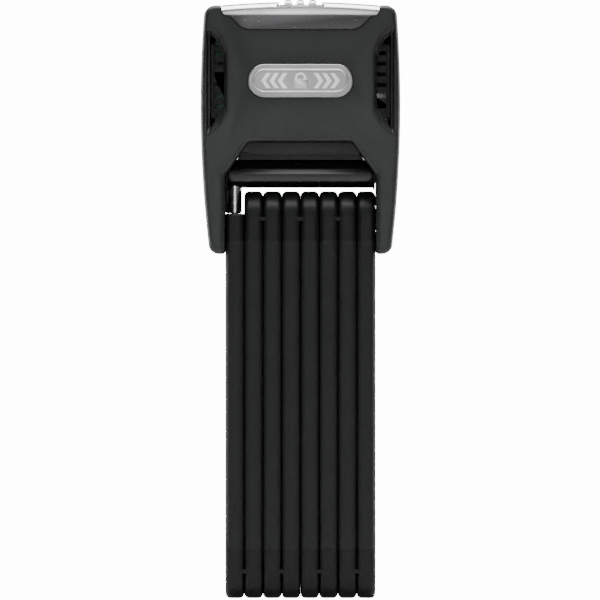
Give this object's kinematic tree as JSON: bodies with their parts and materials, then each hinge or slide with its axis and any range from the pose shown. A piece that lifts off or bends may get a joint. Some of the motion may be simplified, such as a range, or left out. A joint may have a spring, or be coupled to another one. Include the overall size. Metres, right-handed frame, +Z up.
{
  "type": "folding_lock",
  "caption": "Folding bar bicycle lock: flat coated steel bars riveted end to end, folded upright into a keyed black lock body with a metal cap and an alarm.",
  "frame": {"origin": "the middle of the lock body's flat rear face, where a carrier holds it, 220 mm above the lowest point of the folded bars", "axes": "X across the lock and along every rivet, Y from the badge side to the rear face, Z up, with the bars hanging down"},
  "size_m": [0.085, 0.035, 0.2556],
  "materials": {
    "front_shell": "satin black, fine grain",
    "rear_shell": "satin black, fine grain",
    "arch_liner": "charcoal, matt",
    "top_cap": "satin silver",
    "badge_plate": "satin grey with a bright ring",
    "side_insert_left": "black grille",
    "side_insert_right": "black grille",
    "lock_case": "die-cast, as cast",
    "cylinder_housing": "turned",
    "barrel_bush_left": "black bearing plastic",
    "barrel_bush_right": "black bearing plastic",
    "battery": "sleeved cell",
    "circuit_board": "green board",
    "piezo_sounder": "black",
    "battery_door": "satin black",
    "battery_door_screw": "zinc plated",
    "housing_screw_1": "dark plated, hexagon socket",
    "housing_screw_2": "dark plated, hexagon socket",
    "housing_screw_3": "dark plated, hexagon socket",
    "housing_screw_4": "dark plated, hexagon socket",
    "keyhole_cover": "satin silver, ribbed",
    "cylinder_core": "turned",
    "cam_disc": "stamped",
    "bolt_slider": "stamped",
    "locking_bolt": "hardened",
    "bolt_cross_pin": "ground",
    "swing_barrel": "glossy black moulding over steel",
    "swivel_pin": "polished",
    "bar_1_steel_core": "hardened strip, uncoated where it turns on the rivets",
    "bar_1_hard_coating": "black hard coating, satin",
    "bar_1_soft_sleeve": "dark grey soft coating, fine matt",
    "rivet_bar_1_to_2": "dark plated steel",
    "bar_2_steel_core": "hardened strip, uncoated where it turns on the rivets",
    "bar_2_hard_coating": "black hard coating, satin",
    "bar_2_soft_sleeve": "dark grey soft coating, fine matt",
    "rivet_bar_2_to_3": "dark plated steel",
    "bar_3_steel_core": "hardened strip, uncoated where it turns on the rivets",
    "bar_3_hard_coating": "black hard coating, satin",
    "bar_3_soft_sleeve": "dark grey soft coating, fine matt",
    "rivet_bar_3_to_4": "dark plated steel",
    "bar_4_steel_core": "hardened strip, uncoated where it turns on the rivets",
    "bar_4_hard_coating": "black hard coating, satin",
    "bar_4_soft_sleeve": "dark grey soft coating, fine matt",
    "rivet_bar_4_to_5": "dark plated steel",
    "bar_5_steel_core": "hardened strip, uncoated where it turns on the rivets",
    "bar_5_hard_coating": "black hard coating, satin",
    "bar_5_soft_sleeve": "dark grey soft coating, fine matt",
    "rivet_bar_5_to_6": "dark plated steel",
    "bar_6_steel_core": "hardened strip, uncoated where it turns on the rivets",
    "bar_6_hard_coating": "black hard coating, satin",
    "bar_6_soft_sleeve": "dark grey soft coating, fine matt",
    "rivet_bar_6_to_7": "dark plated steel",
    "bar_7_steel_core": "hardened strip, uncoated where it turns on the rivets",
    "bar_7_hard_coating": "black hard coating, satin",
    "bar_7_soft_sleeve": "dark grey soft coating, fine matt",
    "rivet_bar_7_to_8": "dark plated steel",
    "bar_8_steel_core": "hardened strip, uncoated where it turns on the rivets",
    "bar_8_hard_coating": "black hard coating, satin",
    "bar_8_soft_sleeve": "dark grey soft coating, fine matt",
    "locking_stud": "hardened, turned"
  },
  "bodies": {
    "lock_body": {"front_shell": "front_shell", "rear_shell": "rear_shell", "arch_liner": "arch_liner", "top_cap": "top_cap", "badge_plate": "badge_plate", "side_insert_left": "side_insert_left", "side_insert_right": "side_insert_right", "lock_case": "lock_case", "cylinder_housing": "cylinder_housing", "barrel_bush_left": "barrel_bush_left", "barrel_bush_right": "barrel_bush_right", "battery": "battery", "circuit_board": "circuit_board", "piezo_sounder": "piezo_sounder", "battery_door": "battery_door", "battery_door_screw": "battery_door_screw", "housing_screw_1": "housing_screw_1", "housing_screw_2": "housing_screw_2", "housing_screw_3": "housing_screw_3", "housing_screw_4": "housing_screw_4"},
    "keyhole_cover": {"keyhole_cover": "keyhole_cover"},
    "key_cylinder": {"cylinder_core": "cylinder_core", "cam_disc": "cam_disc"},
    "bolt_slider": {"bolt_slider": "bolt_slider"},
    "locking_bolt": {"locking_bolt": "locking_bolt", "bolt_cross_pin": "bolt_cross_pin"},
    "bar_1": {"swing_barrel": "swing_barrel", "swivel_pin": "swivel_pin", "bar_1_steel_core": "bar_1_steel_core", "bar_1_hard_coating": "bar_1_hard_coating", "bar_1_soft_sleeve": "bar_1_soft_sleeve", "rivet_bar_1_to_2": "rivet_bar_1_to_2"},
    "bar_2": {"bar_2_steel_core": "bar_2_steel_core", "bar_2_hard_coating": "bar_2_hard_coating", "bar_2_soft_sleeve": "bar_2_soft_sleeve", "rivet_bar_2_to_3": "rivet_bar_2_to_3"},
    "bar_3": {"bar_3_steel_core": "bar_3_steel_core", "bar_3_hard_coating": "bar_3_hard_coating", "bar_3_soft_sleeve": "bar_3_soft_sleeve", "rivet_bar_3_to_4": "rivet_bar_3_to_4"},
    "bar_4": {"bar_4_steel_core": "bar_4_steel_core", "bar_4_hard_coating": "bar_4_hard_coating", "bar_4_soft_sleeve": "bar_4_soft_sleeve", "rivet_bar_4_to_5": "rivet_bar_4_to_5"},
    "bar_5": {"bar_5_steel_core": "bar_5_steel_core", "bar_5_hard_coating": "bar_5_hard_coating", "bar_5_soft_sleeve": "bar_5_soft_sleeve", "rivet_bar_5_to_6": "rivet_bar_5_to_6"},
    "bar_6": {"bar_6_steel_core": "bar_6_steel_core", "bar_6_hard_coating": "bar_6_hard_coating", "bar_6_soft_sleeve": "bar_6_soft_sleeve", "rivet_bar_6_to_7": "rivet_bar_6_to_7"},
    "bar_7": {"bar_7_steel_core": "bar_7_steel_core", "bar_7_hard_coating": "bar_7_hard_coating", "bar_7_soft_sleeve": "bar_7_soft_sleeve", "rivet_bar_7_to_8": "rivet_bar_7_to_8"},
    "bar_8": {"bar_8_steel_core": "bar_8_steel_core", "bar_8_hard_coating": "bar_8_hard_coating", "bar_8_soft_sleeve": "bar_8_soft_sleeve", "locking_stud": "locking_stud"}
  },
  "joints": [
    {"name": "barrel_swing", "type": "hinge", "parent": "lock_body", "child": "bar_1", "pos_m": [0, -0.017, -0.0385], "axis": [1, 0, 0], "range_deg": [0, 90]},
    {"name": "rivet_1_2_turn", "type": "hinge", "parent": "bar_1", "child": "bar_2", "pos_m": [-0.024, -0.017, -0.208], "axis": [1, 0, 0], "range_deg": [-180, 0]},
    {"name": "rivet_2_3_turn", "type": "hinge", "parent": "bar_2", "child": "bar_3", "pos_m": [-0.016, -0.017, -0.058], "axis": [1, 0, 0], "range_deg": [-90, 0]},
    {"name": "rivet_3_4_turn", "type": "hinge", "parent": "bar_3", "child": "bar_4", "pos_m": [-0.008, -0.017, -0.208], "axis": [1, 0, 0], "range_deg": [-180, 0]},
    {"name": "rivet_4_5_turn", "type": "hinge", "parent": "bar_4", "child": "bar_5", "pos_m": [0, -0.017, -0.058], "axis": [1, 0, 0], "range_deg": [-90, 0]},
    {"name": "rivet_5_6_turn", "type": "hinge", "parent": "bar_5", "child": "bar_6", "pos_m": [0.008, -0.017, -0.208], "axis": [1, 0, 0], "range_deg": [-180, 0]},
    {"name": "rivet_6_7_turn", "type": "hinge", "parent": "bar_6", "child": "bar_7", "pos_m": [0.016, -0.017, -0.058], "axis": [1, 0, 0], "range_deg": [-90, 0]},
    {"name": "rivet_7_8_turn", "type": "hinge", "parent": "bar_7", "child": "bar_8", "pos_m": [0.024, -0.017, -0.208], "axis": [1, 0, 0], "range_deg": [-180, 0]},
    {"name": "cover_slide", "type": "slide", "parent": "lock_body", "child": "keyhole_cover", "axis": [0, 1, 0], "range_m": [0, 0.012]},
    {"name": "key_turn", "type": "hinge", "parent": "lock_body", "child": "key_cylinder", "pos_m": [0, -0.02, 0.02], "axis": [0, 0, -1], "range_deg": [0, 90]},
    {"name": "slider_slide", "type": "slide", "parent": "lock_body", "child": "bolt_slider", "axis": [1, 0, 0], "range_m": [0, 0.01061]},
    {"name": "bolt_drop", "type": "slide", "parent": "lock_body", "child": "locking_bolt", "axis": [0, 0, -1], "range_m": [0, 0.01061]}
  ],
  "couplings": [
    {"joint": "slider_slide", "follows": "key_turn", "m_per_rad": 0.0067524},
    {"joint": "bolt_drop", "follows": "key_turn", "m_per_rad": 0.0067524}
  ]
}
